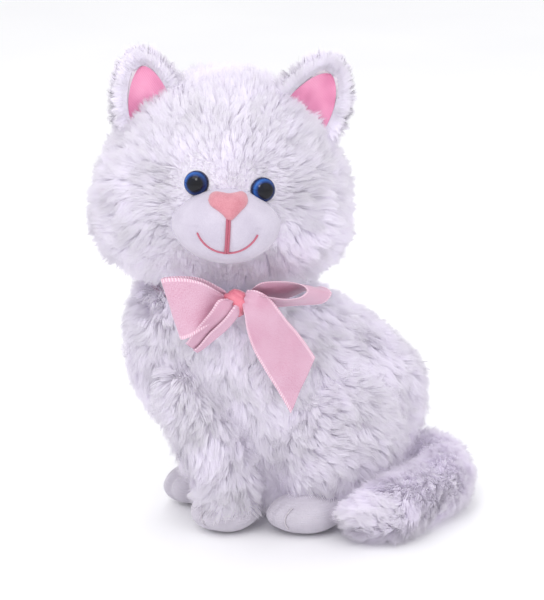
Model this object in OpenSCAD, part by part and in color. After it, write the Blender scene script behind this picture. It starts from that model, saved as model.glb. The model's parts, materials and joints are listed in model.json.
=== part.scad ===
/* [Body] */
// Half width of the body across the ribs, pile included
body_half_w = 37; // [34:1:40]
// Height of the shoulder rim under the head
shoulder_h = 123; // [119:0.5:123]
// Thickness of the fur fabric, backing and pile together
pile_t = 4; // [3:0.5:5]
// Thickness of the short-pile seat panel
seat_t = 1.8; // [1:0.1:2]

/* [Legs] */
// Distance from the middle to each front paw
front_paw_x = 21; // [19:0.5:24]
// Height of a front paw, up to the hem of the leg fur
paw_h = 16; // [12:1:18]
// Distance from the middle to each hind paw
hind_paw_x = 39; // [37:0.5:41]
// Clear gap between a paw and the fur above it
hem_gap = 0.4; // [0.2:0.1:1]

/* [Head] */
// Half width of the head at the cheeks
head_half_w = 60; // [56:1:62]
// Half depth of the head from the face to the back
head_half_d = 52; // [50:1:54]
// Half height of the head
head_half_h = 52; // [48:1:53]
// Height of the middle of the head over the floor
head_z = 176.5; // [176:0.5:182]
// How far the face is turned from the chest towards the cat's left
face_turn = 71; // [40:1:80]
// How far the face is tilted up
face_up = 7; // [0:1:10]
// How far the head leans to its left
head_lean = 3; // [0:1:6]

/* [Face] */
// Diameter of the plastic eyes
eye_d = 12; // [9:0.5:13]
// Distance of each eye from the middle of the face
eye_x = 16.3; // [15:0.1:19]
// Half width of the muzzle
muzzle_half_w = 26; // [24:1:29]
// Half height of the muzzle
muzzle_half_h = 20; // [16:1:21]

/* [Ears] */
// Width of an ear at its root
ear_w = 25; // [22:1:30]
// Height of an ear
ear_h = 20.5; // [18:0.5:30]
// Thickness of the furry back of an ear
ear_t = 4; // [3:0.5:5]

/* [Tail] */
// Radius of the tail at its thickest, pile included
tail_r = 15; // [13:0.5:16]
// Radius of the tail where it is sewn on
tail_root_r = 10; // [9:0.5:11]

/* [Ribbon] */
// Width of the ribbon
ribbon_w = 24; // [18:1:26]
// Thickness given to the ribbon
ribbon_t = 0.8; // [0.5:0.1:1]

/* [Hidden] */

white_fur = [0.94, 0.93, 0.96];
short_pile = [0.88, 0.85, 0.91];
pink_satin = [0.92, 0.66, 0.78];
pink_ribbon = [0.95, 0.72, 0.80];
pink_nose = [0.93, 0.66, 0.70];
fibre = [0.97, 0.97, 0.97];

// The neck is upright, and the head turns and nods about its top.
neck_y = -42;
neck_hole_r = 21;
neck_floor_z = 102;
slip = 0.5;

// The body from the floor up, then over the shoulder and down into the dish under the head.
// Each row is height, front, back, half width, then how the fabric's thickness goes in:
// upwards and towards the middle.
body_rows = [
  [2, -20, 48, 26, 1, 0],
  [10, -30, 58, 32, 0.7, 0.7],
  [29, -40, 62, body_half_w - 2, 0, 1],
  [50, -64, 70.5, body_half_w, 0, 1],
  [73, -83, 65, body_half_w + 2, 0, 1],
  [94, -87.5, 44, body_half_w + 2, 0, 1],
  [110, -87, 22, body_half_w + 1, 0, 1],
  [shoulder_h - 5, -83, 6, body_half_w, -0.5, 0.9],
  [shoulder_h, -76, -8, 34, -1, 0.4],
  [shoulder_h - 3.5, -69, -15, 27, -1, 0],
  [shoulder_h - 5.5, -63, -21, neck_hole_r, -1, 0]];
last_row = len(body_rows) - 1;
column = 15;

// A point of the body at angle u and row j, moved in by t.
function body_point(u, j, t) =
  let (r = body_rows[j], half = (r[2] - r[1]) / 2)
  [(r[3] - t * r[5]) * cos(u), (r[1] + r[2]) / 2 + (half - t * r[5]) * sin(u), r[0] + t * r[4]];

// Quads between two rows of points that start at a and b, split into triangles.
function strip(a, b, n, closed) =
  [for (i = [0:n - (closed ? 1 : 2)]) let (k = (i + 1) % n)
    each [[a + i, b + i, b + k], [a + i, b + k, a + k]]];
function flip(faces) = [for (f = faces) [f[2], f[1], f[0]]];
function flat(rows) = [for (r = rows) each r];

// A closed solid from closed rows of points, with a flat or pointed end at each side.
module closed_loft(rows) {
  n = len(rows[0]);
  m = len(rows);
  centre = function(r) [for (k = [0:2]) [for (p = r) p[k]] * [for (p = r) 1] / n];
  points = concat(flat(rows), [centre(rows[0]), centre(rows[m - 1])]);
  walls = [for (j = [0:m - 2]) each strip(j * n, (j + 1) * n, n, true)];
  foot = [for (i = [0:n - 1]) [n * m, i, (i + 1) % n]];
  top = [for (i = [0:n - 1]) [n * m + 1, (m - 1) * n + (i + 1) % n, (m - 1) * n + i]];
  polyhedron(points, flip(concat(walls, foot, top)));
}

// A sheet of fabric with thickness between an outer and an inner grid of points.
module panel(outer, inner) {
  n = len(outer[0]);
  m = len(outer);
  half = n * m;
  out_faces = [for (j = [0:m - 2]) each strip(j * n, (j + 1) * n, n, false)];
  in_faces = flip([for (f = out_faces) [for (q = f) q + half]]);
  first = [for (i = [0:n - 1]) i];
  last = [for (i = [0:n - 1]) (m - 1) * n + i];
  left = [for (j = [0:m - 1]) j * n];
  right = [for (j = [0:m - 1]) j * n + n - 1];
  edge = function(e) [for (i = [0:len(e) - 2])
    each [[e[i], e[i + 1], e[i + 1] + half], [e[i], e[i + 1] + half, e[i] + half]]];
  faces = concat(out_faces, in_faces, edge(first), flip(edge(last)), flip(edge(left)),
    edge(right));
  polyhedron(concat(flat(outer), flat(inner)), flip(faces));
}

// A cup of fabric: closed rows that shrink to a point, outside and inside.
module cup(outer, inner, tip, inner_tip) {
  n = len(outer[0]);
  m = len(outer);
  half = n * m + 1;
  out_walls = [for (j = [0:m - 2]) each strip(j * n, (j + 1) * n, n, true)];
  out_end = [for (i = [0:n - 1]) [n * m, (m - 1) * n + (i + 1) % n, (m - 1) * n + i]];
  out_faces = concat(out_walls, out_end);
  in_faces = flip([for (f = out_faces) [for (q = f) q + half]]);
  rim = [for (i = [0:n - 1]) let (k = (i + 1) % n)
    each [[i, k, k + half], [i, k + half, i + half]]];
  polyhedron(concat(flat(outer), [tip], flat(inner), [inner_tip]),
    concat(out_faces, in_faces, rim));
}

// An ellipsoid made of flat facets.
module pillow(radii, columns = 24, rows = 10) {
  closed_loft([for (j = [0:rows]) let (a = -84 + 168 * j / rows)
    [for (i = [0:columns - 1]) let (u = -360 * i / columns)
      [radii[0] * cos(a) * cos(u), radii[1] * cos(a) * sin(u), radii[2] * sin(a)]]]);
}

// A tube along a list of points that lies roughly level, with a radius for each point.
module tube(path, radii, columns = 12) {
  m = len(path);
  closed_loft([for (k = [0:m - 1]) ring(path, k, radii[k], 0, 360, columns, true)]);
}
function unit(v) = v / norm(v);
function ring(path, k, r, a0, a1, columns, closed) =
  let (m = len(path),
    along = unit(path[min(k + 1, m - 1)] - path[max(k - 1, 0)]),
    across = unit(cross([0, 0, 1], along)),
    up = cross(along, across))
  [for (i = [0:columns - (closed ? 1 : 0)]) let (a = a1 - (a1 - a0) * i / columns)
    path[k] + r * (cos(a) * across + sin(a) * up)];

// The right-hand pieces mirror the left-hand ones.
module sided(side) {
  if (side > 0) children();
  else mirror([1, 0, 0]) children();
}

// ---- body ----

module body_panel(from, to) {
  grid = function(t) [for (j = [0:last_row])
    [for (u = [to:-column:from]) body_point(u, j, t)]];
  color(white_fur) panel(grid(0), grid(pile_t));
}
module body_solid() {
  closed_loft([for (j = [0:last_row]) [for (u = [360:-column:column]) body_point(u, j, 0)]]);
}
module body_side_left() {
  body_panel(-60, 90);
}
module body_side_right() {
  body_panel(90, 240);
}
module chest_panel() {
  body_panel(240, 300);
}
module seat_panel() {
  color(short_pile) linear_extrude(seat_t)
    polygon([for (u = [0:column:345]) let (p = body_point(u, 0, 0)) [p[0], p[1]]]);
}
bag_top_row = 2;
bag_gap = 0.6;
module pellet_bag() {
  color(fibre) closed_loft([for (j = [0:bag_top_row]) [for (u = [360:-column:column])
    body_point(u, j, pile_t + bag_gap)]]);
}
module torso_stuffing() {
  lowest = [for (u = [360:-column:column])
    body_point(u, bag_top_row, pile_t + bag_gap) + [0, 0, bag_gap]];
  rows = [for (j = [bag_top_row + 1:last_row]) [for (u = [360:-column:column])
    body_point(u, j, pile_t + bag_gap)]];
  well = [for (u = [360:-column:column])
    [neck_hole_r * cos(u), neck_y + neck_hole_r * sin(u), neck_floor_z]];
  color(fibre) closed_loft(concat([lowest], rows, [well]));
}

// ---- legs and paws ----

paw_half_w = 14.5;
paw_z = 10.5;
front_paw_y = -46;
front_paw_half_l = 19;
hind_paw_y = -9;
hind_paw_half_l = 22;
// A front paw is a low pillow cut flat under the hem of the leg fur and on the floor.
module front_paw(side) {
  color(short_pile) translate([side * front_paw_x, front_paw_y, 0]) intersection() {
    translate([0, 0, paw_z]) pillow([paw_half_w, front_paw_half_l, paw_z + 0.1]);
    translate([-30, -30, 0]) cube([60, 60, paw_h]);
  }
}
module front_paw_left() {
  front_paw(1);
}
module front_paw_right() {
  front_paw(-1);
}
module hind_paw_shape(side) {
  translate([side * hind_paw_x, hind_paw_y, paw_z]) pillow([paw_half_w, hind_paw_half_l, paw_z]);
}
module hind_paw(side) {
  color(short_pile) difference() {
    hind_paw_shape(side);
    body_solid();
  }
}
module hind_paw_left() {
  hind_paw(1);
}
module hind_paw_right() {
  hind_paw(-1);
}
// A front leg is a column of fur from the shoulder to the hem, laid against the body.
leg_rows = [[paw_h + hem_gap, 14, 15, -46], [30, 15, 16, -48], [50, 16.5, 18, -55],
  [70, 15.5, 17, -64], [86, 9, 10, -72]];
leg_gap = 0.2;
module front_leg(side) {
  color(white_fur) difference() {
    sided(side) closed_loft([for (r = leg_rows) [for (i = [15:-1:0]) let (u = 22.5 * i)
      [front_paw_x + r[1] * cos(u), r[3] + r[2] * sin(u), r[0]]]]);
    body_solid();
    sided(side) translate([-60, -120, 0]) cube([60 + leg_gap, 120, 120]);
  }
}
module front_leg_left() {
  front_leg(1);
}
module front_leg_right() {
  front_leg(-1);
}
module haunch(side) {
  color(white_fur) difference() {
    sided(side) translate([29, 10, 43]) pillow([20, 34, 40], 20, 9);
    body_solid();
    hind_paw_shape(side);
  }
}
module haunch_left() {
  haunch(1);
}
module haunch_right() {
  haunch(-1);
}
// Two short stitches pull each paw into toes.
stitch_r = 0.5;
stitch_len = 7;
stitch_z = 5.5;
front_toes = [-5, 5];
hind_toes = [1.5, 8];
// A stitch just in front of a paw whose middle is at x, y.
module stitch(side, x, y, half_l, toe) {
  front = half_l * sqrt(1 - pow(toe / paw_half_w, 2)) + stitch_r + 0.15;
  translate([side * (x + toe), y - front, stitch_z])
    cylinder(h = stitch_len, r = stitch_r, $fn = 16);
}
module toe_stitches() {
  color(short_pile) for (side = [-1, 1]) {
    for (toe = front_toes) stitch(side, front_paw_x, front_paw_y, front_paw_half_l, toe);
    for (toe = hind_toes) stitch(side, hind_paw_x, hind_paw_y, hind_paw_half_l, toe);
  }
}

// ---- neck and ribbon ----

module neck_stuffing() {
  color(fibre) translate([0, neck_y, 0]) rotate_extrude($fn = 48)
    polygon([[0, neck_floor_z + slip], [neck_hole_r - slip, neck_floor_z + slip],
      [neck_hole_r - slip, shoulder_h - 4.5], [0, shoulder_h - 6]]);
}
// The band lies in the crease between the head and the shoulder.
band_r = 32.5;
band_t = 2.8;
module neck_band() {
  color(pink_ribbon) translate([0, neck_y, shoulder_h + band_t / 2 + 0.3])
    rotate_extrude($fn = 64)
    translate([band_r, 0]) circle(r = band_t / 2, $fn = 24);
}
// The bow stands before the neck, under the chin.
bow_turn = 78;
bow_out = 48;
bow_z = 127;
module at_bow() {
  translate([0, neck_y, bow_z]) rotate([0, 0, bow_turn]) translate([0, -bow_out, 0]) children();
}
module bow_knot() {
  color(pink_ribbon) at_bow() pillow([6, 4.5, 6.5], 16, 8);
}
// A loop of ribbon, closed at the knot and round at its far end.
module ribbon_loop(length, depth, width) {
  outline = [for (a = [-150:15:150]) [length / 2 * (1 + cos(a)), depth / 2 * sin(a)]];
  translate([0, 0, -width / 2]) linear_extrude(width) difference() {
    polygon(concat([[0, -0.5]], outline, [[0, 0.5]]));
    offset(delta = -ribbon_t) polygon(concat([[0, -0.5]], outline, [[0, 0.5]]));
  }
}
module bow_loop_left() {
  color(pink_ribbon) at_bow() translate([-7, 0, -3]) rotate([0, -12, 180])
    ribbon_loop(32, 9, ribbon_w);
}
module bow_loop_right() {
  color(pink_ribbon) at_bow() translate([7, 0, 1]) rotate([30, -4, 0])
    ribbon_loop(40, 9, ribbon_w * 0.8);
}
module ribbon_end(length) {
  translate([-ribbon_w / 2, 0, -length]) cube([ribbon_w, ribbon_t, length]);
}
module bow_tail_short() {
  color(pink_ribbon) at_bow() translate([-14, -7, -9]) rotate([0, 38, 0]) ribbon_end(20);
}
module bow_tail_long() {
  color(pink_ribbon) at_bow() translate([9, -7, -9]) rotate([0, -38, 0]) ribbon_end(52);
}

// ---- head ----

module at_head() {
  translate([0, neck_y + 3, head_z]) rotate([0, 0, face_turn]) rotate([-face_up, 0, 0])
    rotate([0, head_lean, 0]) children();
}
// The head is a full, slightly square ball. Row angle a runs from ear to ear, u goes round it
// from the face (0) over the top (90) to the nape (180). fullness squares the ball off.
fullness = 0.9;
// The cheeks hang below the middle of the head.
cheek_drop = 8;
function full(s) = sign(s) * pow(abs(s), fullness);
function head_point(u, a, t) =
  [(head_half_w - t) * sin(a),
   -(head_half_d - t) * full(cos(a)) * cos(u),
   (head_half_h - t) * full(cos(a)) * full(sin(u)) - cheek_drop * pow(sin(a), 2)];
band_a = 10;
side_rows = [for (k = [0:5]) band_a + (82 - band_a) * k / 5];
module head_side(side) {
  grid = function(t) [for (a = side_rows) [for (u = [345:-column:0]) head_point(u, a, t)]];
  color(white_fur) at_head() difference() {
    sided(side) cup(grid(0), grid(pile_t), [head_half_w, 0, -cheek_drop],
      [head_half_w - pile_t, 0, -cheek_drop]);
    at_eye(side) eye_pocket();
  }
}
module head_side_left() {
  head_side(1);
}
module head_side_right() {
  head_side(-1);
}
module head_strip(from, to) {
  grid = function(t) [for (a = [-band_a, 0, band_a]) [for (u = [from:column:to]) head_point(u, a, t)]];
  color(white_fur) at_head() difference() {
    panel(grid(0), grid(pile_t));
    for (side = [-1, 1]) at_eye(side) eye_pocket();
  }
}
module head_gusset() {
  head_strip(0, 240);
}
module chin_panel() {
  head_strip(240, 360);
}
module head_ball(t) {
  closed_loft([for (a = [-82:16.4:82.1]) [for (u = [0:column:345]) head_point(u, a, t)]]);
}
module head_stuffing() {
  color(fibre) at_head() difference() {
    head_ball(pile_t + bag_gap);
    for (side = [-1, 1]) at_eye(side) stem_pocket();
  }
}

// ---- eyes ----

eye_z = 1.2;
// The eyes are set by hand, a little to one side and not quite level
eye_shift = 0.9;
eye_drop = 1;
eye_splay = 15;
eye_sink = 4;
stem_r = 1.6;
stem_len = 11;
washer_r = 5.5;
washer_t = 1.2;
// Local frame of an eye: its axis is Z, pointing out of the head.
module at_eye(side) {
  translate([side * eye_x + eye_shift, -head_half_d * 0.955, eye_z - side * eye_drop]) rotate([0, 0, side * eye_splay])
    rotate([90, 0, 0]) translate([0, 0, -eye_sink]) children();
}
module eye_pocket() {
  cylinder(h = 30, r = eye_d / 2 + 0.4, $fn = 32);
  translate([0, 0, -20]) cylinder(h = 25, r = stem_r + 0.2, $fn = 24);
}
module stem_pocket() {
  translate([0, 0, -stem_len - 1]) cylinder(h = 2 * stem_len, r = washer_r + 0.3, $fn = 32);
}
iris_t = 1;
module eye_dome(side) {
  r = eye_d / 2;
  color([0.05, 0.06, 0.12]) at_head() at_eye(side) translate([0, 0, iris_t])
    intersection() {
      translate([0, 0, -1.6]) sphere(r = r + 0.2, $fn = 48);
      cylinder(h = r + 2, r = r, $fn = 48);
    }
}
module eye_iris(side) {
  color([0.1, 0.22, 0.5]) at_head() at_eye(side) {
    cylinder(h = iris_t, r = eye_d / 2, $fn = 48);
    translate([0, 0, -stem_len]) cylinder(h = stem_len, r = stem_r, $fn = 24);
  }
}
module eye_washer(side) {
  color([0.9, 0.9, 0.9]) at_head() at_eye(side) translate([0, 0, -stem_len + 1])
    difference() {
      cylinder(h = washer_t, r = washer_r, $fn = 32);
      translate([0, 0, -1]) cylinder(h = washer_t + 2, r = stem_r + 0.05, $fn = 24);
    }
}
module eye_dome_left() {
  eye_dome(1);
}
module eye_dome_right() {
  eye_dome(-1);
}
module eye_iris_left() {
  eye_iris(1);
}
module eye_iris_right() {
  eye_iris(-1);
}
module eye_washer_left() {
  eye_washer(1);
}
module eye_washer_right() {
  eye_washer(-1);
}

// ---- muzzle ----

muzzle_z = -15.5;
muzzle_y = -46;
muzzle_half_d = 20;
muzzle_t = 2.5;
muzzle_gap = 0.8;
module muzzle_pillow(t) {
  translate([0, muzzle_y, muzzle_z])
    rotate([90, 0, 0]) pillow([muzzle_half_w - t, muzzle_half_h - t, muzzle_half_d - t], 24, 10);
}
module muzzle_cover() {
  color(short_pile) at_head() difference() {
    muzzle_pillow(0);
    muzzle_pillow(muzzle_t);
    head_ball(-muzzle_gap);
    eye_clearance();
  }
}
module eye_clearance() {
  for (side = [-1, 1]) at_eye(side) cylinder(h = 20, r = eye_d / 2 + 0.4, $fn = 32);
}
module muzzle_stuffing() {
  color(fibre) at_head() difference() {
    muzzle_pillow(muzzle_t + 0.3);
    head_ball(-muzzle_gap);
  }
}
// The nose is a rounded triangle, wide at the top.
module nose() {
  color(pink_nose) at_head() difference() {
    hull() {
      for (side = [-1, 1]) translate([side * 6, muzzle_y - 15.5, muzzle_z + 13]) sphere(r = 3.2, $fn = 20);
      translate([0, muzzle_y - 18, muzzle_z + 6.5]) sphere(r = 2.6, $fn = 20);
    }
    muzzle_pillow(-0.1);
  }
}
// A point just over the muzzle's surface, above place x, z of its front.
function on_muzzle(x, z, lift) =
  let (depth = sqrt(max(0.02, 1 - pow(x / muzzle_half_w, 2) - pow(z / muzzle_half_h, 2))))
  [x, muzzle_y - muzzle_half_d * depth - lift, muzzle_z + z];
thread_r = 0.6;
smile_r = 15.5;
smile_z = 2;
thread_lift = 1.4;
module thread(path) {
  for (k = [0:len(path) - 2]) let (a = path[k], b = path[k + 1], d = b - a)
    translate(a) rotate([0, acos(d[2] / norm(d)), atan2(d[1], d[0])])
      cylinder(h = norm(d), r = thread_r, $fn = 12);
}
module mouth_stitch() {
  smile = [for (a = [-155:26:-25])
    on_muzzle(smile_r * cos(a), smile_z + smile_r * sin(a), thread_lift)];
  philtrum = [for (z = [3, -4, smile_z - smile_r + 2 * thread_r]) on_muzzle(0, z, thread_lift)];
  color([0.8, 0.45, 0.52]) at_head() {
    thread(smile);
    thread(philtrum);
  }
}

// ---- ears ----

ear_x = 37.5;
ear_y = -12;
ear_z = 38.4;
ear_tilt = 30;
lining_t = 0.8;
// Local frame of an ear: it folds about X at its root, Z points up the ear.
module at_ear(side) {
  at_head() translate([side * ear_x, ear_y, ear_z]) rotate([0, side * ear_tilt, 0])
    rotate([0, 0, side * 8]) children();
}
// The ears were sewn on unevenly: the right one leans in towards the middle.
function ear_lean(side) = side > 0 ? 0 : 6;
module ear_outline(w, h, lean) {
  polygon([[-w / 2, 0], [w / 2, 0], [w * 0.42 + lean * 0.4, h * 0.5], [w * 0.2 + lean, h * 0.88],
    [lean, h], [-w * 0.2 + lean, h * 0.88], [-w * 0.42 + lean * 0.4, h * 0.5]]);
}
module ear_back(side) {
  color(white_fur) at_ear(side) {
    translate([0, ear_t / 2, 0]) rotate([90, 0, 0]) linear_extrude(ear_t)
      ear_outline(ear_w, ear_h, ear_lean(side));
  }
}
module ear_lining(side) {
  color(pink_satin) at_ear(side) translate([0, -ear_t / 2 - 0.1, 2]) rotate([90, 0, 0])
    linear_extrude(lining_t) ear_outline(ear_w * 0.8, ear_h * 0.8, ear_lean(side) * 0.8);
}
module ear_back_left() {
  ear_back(1);
}
module ear_back_right() {
  ear_back(-1);
}
module ear_lining_left() {
  ear_lining(1);
}
module ear_lining_right() {
  ear_lining(-1);
}

// ---- tail ----

// The tail leaves the rump at the back and curls forward round the left haunch on the floor.
tail_root = [4, 77, tail_r + 0.2];
tail_steps = 14;
function tail_point(s) =
  let (a = 103 - 136 * s)
  s == 0 ? tail_root : [10 + 58 * cos(a), 22 + 56 * sin(a), tail_r + 0.2];
function tail_radius(s) =
  s < 0.2 ? tail_root_r + (tail_r - tail_root_r) * s / 0.2
  : s < 0.75 ? tail_r : tail_r * sqrt(max(0.02, 1 - pow((s - 0.75) / 0.26, 2)));
tail_path = [for (k = [0:tail_steps]) tail_point(k / tail_steps)];
tail_radii = [for (k = [0:tail_steps]) tail_radius(k / tail_steps)];
module tail_cover() {
  outer = [for (k = [0:tail_steps]) ring(tail_path, k, tail_radii[k], 272, 628, 12, false)];
  inner = [for (k = [0:tail_steps]) ring(tail_path, k, tail_radii[k] * 0.72, 272, 628, 12, false)];
  color(white_fur) panel(outer, inner);
}
module tail_stuffing() {
  color(fibre) tube(tail_path, 0.68 * tail_radii, 12);
}

body_side_left();
body_side_right();
chest_panel();
seat_panel();
torso_stuffing();
pellet_bag();
haunch_left();
haunch_right();
front_leg_left();
front_leg_right();
front_paw_left();
front_paw_right();
hind_paw_left();
hind_paw_right();
toe_stitches();
neck_stuffing();
neck_band();
bow_knot();
bow_loop_left();
bow_loop_right();
bow_tail_short();
bow_tail_long();
head_side_left();
head_side_right();
head_gusset();
chin_panel();
head_stuffing();
muzzle_cover();
muzzle_stuffing();
nose();
mouth_stitch();
eye_dome_left();
eye_dome_right();
eye_iris_left();
eye_iris_right();
eye_washer_left();
eye_washer_right();
ear_back_left();
ear_back_right();
ear_lining_left();
ear_lining_right();
tail_cover();
tail_stuffing();
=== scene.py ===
import json
import math

import bmesh
import bpy
import numpy as np
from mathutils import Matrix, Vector


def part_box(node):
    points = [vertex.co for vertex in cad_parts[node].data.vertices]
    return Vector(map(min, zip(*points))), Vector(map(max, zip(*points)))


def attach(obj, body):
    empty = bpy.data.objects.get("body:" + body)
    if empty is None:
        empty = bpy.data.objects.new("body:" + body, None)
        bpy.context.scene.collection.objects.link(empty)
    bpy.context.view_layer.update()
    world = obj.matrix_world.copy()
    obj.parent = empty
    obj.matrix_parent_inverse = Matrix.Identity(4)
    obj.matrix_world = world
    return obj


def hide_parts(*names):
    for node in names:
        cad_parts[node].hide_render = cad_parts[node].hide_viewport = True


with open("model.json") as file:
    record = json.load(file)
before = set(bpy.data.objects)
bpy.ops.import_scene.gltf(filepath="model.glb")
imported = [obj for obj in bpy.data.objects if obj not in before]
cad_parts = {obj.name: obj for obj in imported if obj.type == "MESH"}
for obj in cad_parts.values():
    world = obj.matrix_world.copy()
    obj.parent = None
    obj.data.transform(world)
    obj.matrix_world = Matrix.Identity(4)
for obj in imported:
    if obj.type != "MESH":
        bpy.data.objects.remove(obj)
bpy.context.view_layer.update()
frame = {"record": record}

# ---------------------------------------------------------------- measures
# Lengths are millimetres until a mesh is written, then metres.
MM = 0.001
STRAND_SHARE = 1.0
RNG = np.random.default_rng(11)

JOINTS = {j["name"]: j for j in frame["record"]["behaviour"]["joints"]}


def joint_mm(name):
    """A joint's place in millimetres and its axis."""
    joint = JOINTS[name]
    return np.array(joint["pos_m"]) / MM, np.array(joint["axis"])


def box_mm(node):
    """Low and high corner of a CAD node's box, in millimetres."""
    low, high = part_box(node)
    return np.array(low) / MM, np.array(high) / MM


NECK = joint_mm("head_turn")[0]
FACE_AXIS = joint_mm("head_nod")[1]
FACE_TURN = math.atan2(FACE_AXIS[1], FACE_AXIS[0])
FACE_UP = math.radians(7)
HEAD_LEAN = math.radians(3)
HEAD_MID = np.array([0, NECK[1] + 3, 176.5])
HEAD_HALF = np.array([60, 52, 52])
FULLNESS = 0.9
CHEEK_DROP = 10.5
PEAR = 0.08
PILE_DEPTH = 3.0

MUZZLE_MID = np.array([0, -46, -15.5])
MUZZLE_HALF = np.array([26, 20, 20])
MUZZLE_TOP = 16.5
MUZZLE_TAPER = 0.16
MUZZLE_WAD = 0.92
EYE_PLACES = {1: (17.2, 0.2), -1: (-15.4, 2.2)}
EYE_SPLAY, EYE_SINK = math.radians(15), 4
EYE_R = 6
EYE_BRIGHT_SIDE = math.pi + math.radians(140)

# ---------------------------------------------------------------- small maths


def turn(axis, angle):
    """Rotation matrix about x (0), y (1) or z (2)."""
    c, s = math.cos(angle), math.sin(angle)
    a, b = [(1, 2), (2, 0), (0, 1)][axis]
    m = np.eye(3)
    m[a, a], m[a, b], m[b, a], m[b, b] = c, -s, s, c
    return m


HEAD_TURN = turn(2, FACE_TURN) @ turn(0, -FACE_UP) @ turn(1, HEAD_LEAN)


def head_to_world(p):
    """Points of the head's own axes in the frame."""
    return HEAD_MID + p @ HEAD_TURN.T


def world_to_head(p):
    """Points of the frame in the head's own axes."""
    return (p - HEAD_MID) @ HEAD_TURN


def unit(v):
    """Each vector at length 1."""
    return v / np.maximum(np.linalg.norm(v, axis=-1, keepdims=True), 1e-9)


def onto_plane(v, normal):
    """The part of v that lies along the surface, at length 1."""
    return unit(v - (v * normal).sum(-1, keepdims=True) * normal)


def spline(keys, t):
    """Smooth curve through keys (Catmull-Rom), at t from 0 to 1."""
    keys = np.asarray(keys, float)
    x = np.clip(np.asarray(t, float), 0, 1) * (len(keys) - 1)
    i = np.minimum(x.astype(int), len(keys) - 2)
    f = (x - i)[..., None]
    padded = np.concatenate([2 * keys[:1] - keys[1:2], keys, 2 * keys[-1:] - keys[-2:-1]])
    a, b, c, d = (padded[i + k] for k in range(4))
    return b + 0.5 * f * (c - a + f * (2 * a - 5 * b + 4 * c - d + f * (3 * (b - c) + d - a)))


LATTICE = np.random.default_rng(5).uniform(-1, 1, (32, 32, 32, 3))


def noise(p, size, shift=0.0):
    """Smooth noise of three channels, from -1 to 1, with lumps about size millimetres wide."""
    q = p / size + shift
    i = np.floor(q).astype(int)
    f = q - i
    f = f * f * (3 - 2 * f)
    total = 0
    for corner in range(8):
        step = np.array([corner & 1, corner >> 1 & 1, corner >> 2])
        weight = np.where(step, f, 1 - f).prod(-1)[..., None]
        cell = (i + step) % 32
        total = total + weight * LATTICE[cell[..., 0], cell[..., 1], cell[..., 2]]
    return total


# ---------------------------------------------------------------- meshes


def new_object(name, mesh):
    """Links a mesh into the scene as an object."""
    obj = bpy.data.objects.new(name, mesh)
    bpy.context.scene.collection.objects.link(obj)
    return obj


def mesh_from(name, points, loops, starts, uv=None, uv_name="cloth", smooth=True):
    """A mesh from whole arrays: points in mm, corner indices, first corner of each face."""
    mesh = bpy.data.meshes.new(name)
    mesh.vertices.add(len(points))
    mesh.vertices.foreach_set("co", (points * MM).astype(np.float32).ravel())
    mesh.loops.add(len(loops))
    mesh.loops.foreach_set("vertex_index", loops.astype(np.int32))
    mesh.polygons.add(len(starts))
    mesh.polygons.foreach_set("loop_start", starts.astype(np.int32))
    mesh.update(calc_edges=True)
    if uv is not None:
        layer = mesh.uv_layers.new(name=uv_name)
        layer.data.foreach_set("uv", uv.astype(np.float32).ravel())
    mesh.polygons.foreach_set("use_smooth", np.full(len(starts), smooth))
    return mesh


def grid_object(name, points, round_u=True, poles=(False, False), uv_size=(1, 1)):
    """An object from a grid of points[v, u]. round_u joins the last column to the first;
    poles closes the first and last row, whose points all fall in one place."""
    rows, columns = points.shape[:2]
    j, i = np.meshgrid(np.arange(rows - 1), np.arange(columns - (not round_u)), indexing="ij")
    k = (i + 1) % columns
    quads = np.stack([j * columns + i, j * columns + k, (j + 1) * columns + k, (j + 1) * columns + i], -1)
    quads = quads.reshape(-1, 4)
    uv = np.stack([np.stack([i, j], -1), np.stack([i + 1, j], -1), np.stack([i + 1, j + 1], -1),
                   np.stack([i, j + 1], -1)], 2).reshape(-1, 2).astype(float)
    uv *= np.array(uv_size) / np.array([columns - (not round_u), rows - 1])
    mesh = mesh_from(name, points.reshape(-1, 3), quads.ravel(), np.arange(len(quads)) * 4, uv)
    if any(poles):
        work = bmesh.new()
        work.from_mesh(mesh)
        bmesh.ops.remove_doubles(work, verts=work.verts, dist=1e-6)
        work.to_mesh(mesh)
        work.free()
    mesh.validate()
    return new_object(name, mesh)


def set_uv(obj, uv):
    """Gives the object's map one value for each vertex."""
    corner = np.empty(len(obj.data.loops), np.int32)
    obj.data.loops.foreach_get("vertex_index", corner)
    obj.data.uv_layers[0].data.foreach_set("uv", uv[corner].astype(np.float32).ravel())


def grid_normals(points, round_u=True):
    """Outward normals of a grid of points[v, u], from the differences of its neighbours."""
    if round_u:
        du = np.roll(points, -1, 1) - np.roll(points, 1, 1)
    else:
        du = np.gradient(points, axis=1)
    dv = np.gradient(points, axis=0)
    return unit(np.cross(du, dv))


def outward(points):
    """Turns a closed grid so that its faces look outwards, by the sign of its volume."""
    nxt = np.roll(points, -1, 1)
    a, b, c = points[:-1], nxt[:-1], points[1:]
    d = nxt[1:]
    volume = (a * np.cross(b, d)).sum() + (a * np.cross(d, c)).sum()
    return points if volume > 0 else points[:, ::-1]


def angles(columns):
    """Equal steps round a full turn."""
    return np.arange(columns) / columns * 2 * np.pi


# ---------------------------------------------------------------- materials


class Value:
    """A value that runs through a material. Sums, products and powers of it add Math nodes."""

    def __init__(self, paint, socket):
        self.paint, self.socket = paint, socket

    def maths(self, operation, first, second):
        return self.paint.node("ShaderNodeMath", {"operation": operation}, {0: first, 1: second})

    def __add__(self, other):
        return self.maths("ADD", self, other)

    def __sub__(self, other):
        return self.maths("SUBTRACT", self, other)

    def __rsub__(self, other):
        return self.maths("SUBTRACT", other, self)

    def __mul__(self, other):
        return self.maths("MULTIPLY", self, other)

    def __pow__(self, other):
        return self.maths("POWER", self, other)

    __radd__, __rmul__ = __add__, __mul__


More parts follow.
